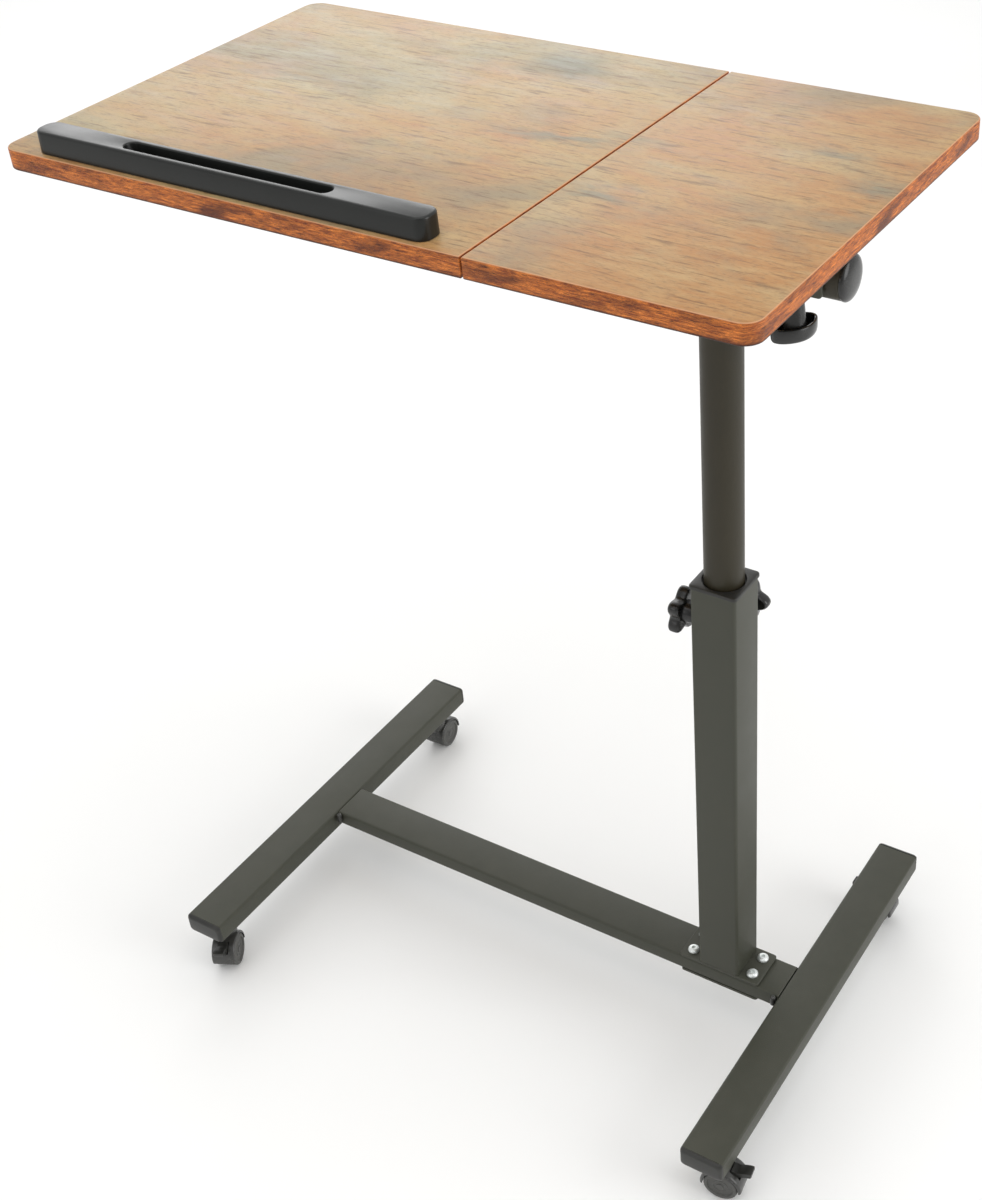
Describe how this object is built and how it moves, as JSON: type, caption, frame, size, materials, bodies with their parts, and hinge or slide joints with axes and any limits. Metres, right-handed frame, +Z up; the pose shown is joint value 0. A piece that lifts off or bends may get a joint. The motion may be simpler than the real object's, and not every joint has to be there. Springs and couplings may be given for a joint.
{
  "type": "overbed table",
  "caption": "Split-top overbed table: a tilting reading board with a pen ledge and a fixed side board on a telescopic swivel mast, over an H-shaped base with braked twin-wheel castors.",
  "frame": {"origin": "on the floor, under the middle of the closed top", "axes": "+X along the top towards the small board and the column, +Y away from the user, +Z up"},
  "size_m": [0.6, 0.4113, 0.8473],
  "materials": {
    "frame_paint": "satin dark olive-brown powder coat",
    "board_laminate": "rustic brown wood-effect melamine with a red-brown edge band",
    "ledge_plastic": "black semi-gloss moulding",
    "knob_plastic": "black gloss moulding",
    "cap_plastic": "black satin moulding",
    "castor_nylon": "dark grey nylon",
    "wheel_plastic": "grey-black moulded wheel",
    "pedal_plastic": "black moulding",
    "zinc_plate": "bright zinc plate",
    "black_screw": "black-coated steel screw"
  },
  "bodies": {
    "base": {"left_leg": "frame_paint", "left_leg_front_plug": "cap_plastic", "left_leg_rear_plug": "cap_plastic", "right_leg": "frame_paint", "right_leg_front_plug": "cap_plastic", "right_leg_rear_plug": "cap_plastic", "crossbar": "frame_paint", "left_corner_screw": "black_screw", "right_corner_screw": "black_screw", "column_foot_plate": "frame_paint", "clamp_plate": "frame_paint", "foot_bolt_1": "zinc_plate", "foot_bolt_2": "zinc_plate", "foot_bolt_3": "zinc_plate", "foot_bolt_4": "zinc_plate", "lower_column": "frame_paint", "column_bush": "cap_plastic", "side_clamp_boss": "frame_paint", "rear_clamp_boss": "frame_paint", "front_left_castor_stud": "zinc_plate", "rear_left_castor_stud": "zinc_plate", "front_right_castor_stud": "zinc_plate", "rear_right_castor_stud": "zinc_plate"},
    "mast_slider": {"mast_glide": "cap_plastic"},
    "swivel_mast": {"mast": "frame_paint", "head_sleeve": "frame_paint", "sleeve_end_cap": "cap_plastic", "tilt_lock_boss": "frame_paint", "small_board": "board_laminate", "small_board_inner_bracket": "frame_paint", "small_board_outer_bracket": "frame_paint"},
    "tilting_top": {"large_board": "board_laminate", "pen_ledge": "ledge_plastic", "tilt_shaft": "frame_paint", "shaft_end_cap": "cap_plastic", "large_board_inner_bracket": "frame_paint", "large_board_outer_bracket": "frame_paint"},
    "side_knob": {"side_knob": "knob_plastic"},
    "rear_knob": {"rear_knob": "knob_plastic"},
    "tilt_knob": {"tilt_knob": "knob_plastic"},
    "front_left_castor": {"front_left_castor_hood": "castor_nylon", "front_left_castor_axle": "zinc_plate"},
    "front_left_left_wheel": {"front_left_castor_left_wheel": "wheel_plastic"},
    "front_left_right_wheel": {"front_left_castor_right_wheel": "wheel_plastic"},
    "front_left_pedal": {"front_left_castor_pedal": "pedal_plastic"},
    "rear_left_castor": {"rear_left_castor_hood": "castor_nylon", "rear_left_castor_axle": "zinc_plate"},
    "rear_left_left_wheel": {"rear_left_castor_left_wheel": "wheel_plastic"},
    "rear_left_right_wheel": {"rear_left_castor_right_wheel": "wheel_plastic"},
    "front_right_castor": {"front_right_castor_hood": "castor_nylon", "front_right_castor_axle": "zinc_plate"},
    "front_right_left_wheel": {"front_right_castor_left_wheel": "wheel_plastic"},
    "front_right_right_wheel": {"front_right_castor_right_wheel": "wheel_plastic"},
    "front_right_pedal": {"front_right_castor_pedal": "pedal_plastic"},
    "rear_right_castor": {"rear_right_castor_hood": "castor_nylon", "rear_right_castor_axle": "zinc_plate"},
    "rear_right_left_wheel": {"rear_right_castor_left_wheel": "wheel_plastic"},
    "rear_right_right_wheel": {"rear_right_castor_right_wheel": "wheel_plastic"},
    "rear_right_pedal": {"rear_right_castor_pedal": "pedal_plastic"}
  },
  "joints": [
    {"name": "height_slide", "type": "slide", "parent": "base", "child": "mast_slider", "axis": [0, 0, 1], "range_m": [-0.19, 0.13]},
    {"name": "mast_swivel", "type": "hinge", "parent": "mast_slider", "child": "swivel_mast", "pos_m": [0.1834, 0, 0.4], "axis": [0, 0, 1], "continuous": true},
    {"name": "top_tilt", "type": "hinge", "parent": "swivel_mast", "child": "tilting_top", "pos_m": [0, 0, 0.779], "axis": [1, 0, 0], "range_deg": [-90, 90]},
    {"name": "tilt_knob_turn", "type": "hinge", "parent": "swivel_mast", "child": "tilt_knob", "pos_m": [0.2394, 0, 0.735], "axis": [0, 0, 1], "range_deg": [-360, 45]},
    {"name": "side_knob_turn", "type": "hinge", "parent": "base", "child": "side_knob", "pos_m": [0.1434, 0, 0.46], "axis": [-1, 0, 0], "range_deg": [-45, 360]},
    {"name": "rear_knob_turn", "type": "hinge", "parent": "base", "child": "rear_knob", "pos_m": [0.1834, 0.04, 0.46], "axis": [0, 1, 0], "range_deg": [-45, 360]},
    {"name": "front_left_castor_swivel", "type": "hinge", "parent": "base", "child": "front_left_castor", "pos_m": [-0.2792, -0.176, 0.044], "axis": [0, 0, 1], "continuous": true},
    {"name": "front_left_left_wheel_spin", "type": "hinge", "parent": "front_left_castor", "child": "front_left_left_wheel", "pos_m": [-0.27591, -0.18274, 0.0155], "axis": [0.8988, 0.4384, 0], "continuous": true},
    {"name": "front_left_right_wheel_spin", "type": "hinge", "parent": "front_left_castor", "child": "front_left_right_wheel", "pos_m": [-0.27591, -0.18274, 0.0155], "axis": [0.8988, 0.4384, 0], "continuous": true},
    {"name": "front_left_brake_press", "type": "hinge", "parent": "front_left_castor", "child": "front_left_pedal", "pos_m": [-0.27208, -0.19059, 0.03192], "axis": [0.8988, 0.4384, 0], "range_deg": [0, 8]},
    {"name": "rear_left_castor_swivel", "type": "hinge", "parent": "base", "child": "rear_left_castor", "pos_m": [-0.2792, 0.174, 0.044], "axis": [0, 0, 1], "continuous": true},
    {"name": "rear_left_left_wheel_spin", "type": "hinge", "parent": "rear_left_castor", "child": "rear_left_left_wheel", "pos_m": [-0.27972, 0.18148, 0.0155], "axis": [-0.9976, -0.0698, 0], "continuous": true},
    {"name": "rear_left_right_wheel_spin", "type": "hinge", "parent": "rear_left_castor", "child": "rear_left_right_wheel", "pos_m": [-0.27972, 0.18148, 0.0155], "axis": [-0.9976, -0.0698, 0], "continuous": true},
    {"name": "front_right_castor_swivel", "type": "hinge", "parent": "base", "child": "front_right_castor", "pos_m": [0.2652, -0.176, 0.044], "axis": [0, 0, 1], "continuous": true},
    {"name": "front_right_left_wheel_spin", "type": "hinge", "parent": "front_right_castor", "child": "front_right_left_wheel", "pos_m": [0.27263, -0.17496, 0.0155], "axis": [-0.1392, 0.9903, 0], "continuous": true},
    {"name": "front_right_right_wheel_spin", "type": "hinge", "parent": "front_right_castor", "child": "front_right_right_wheel", "pos_m": [0.27263, -0.17496, 0.0155], "axis": [-0.1392, 0.9903, 0], "continuous": true},
    {"name": "front_right_brake_press", "type": "hinge", "parent": "front_right_castor", "child": "front_right_pedal", "pos_m": [0.28127, -0.17374, 0.03192], "axis": [-0.1392, 0.9903, 0], "range_deg": [0, 8]},
    {"name": "rear_right_castor_swivel", "type": "hinge", "parent": "base", "child": "rear_right_castor", "pos_m": [0.2652, 0.174, 0.044], "axis": [0, 0, 1], "continuous": true},
    {"name": "rear_right_left_wheel_spin", "type": "hinge", "parent": "rear_right_castor", "child": "rear_right_left_wheel", "pos_m": [0.2577, 0.174, 0.0155], "axis": [0, -1, 0], "continuous": true},
    {"name": "rear_right_right_wheel_spin", "type": "hinge", "parent": "rear_right_castor", "child": "rear_right_right_wheel", "pos_m": [0.2577, 0.174, 0.0155], "axis": [0, -1, 0], "continuous": true},
    {"name": "rear_right_brake_press", "type": "hinge", "parent": "rear_right_castor", "child": "rear_right_pedal", "pos_m": [0.24897, 0.174, 0.03192], "axis": [0, -1, 0], "range_deg": [0, 8]}
  ]
}
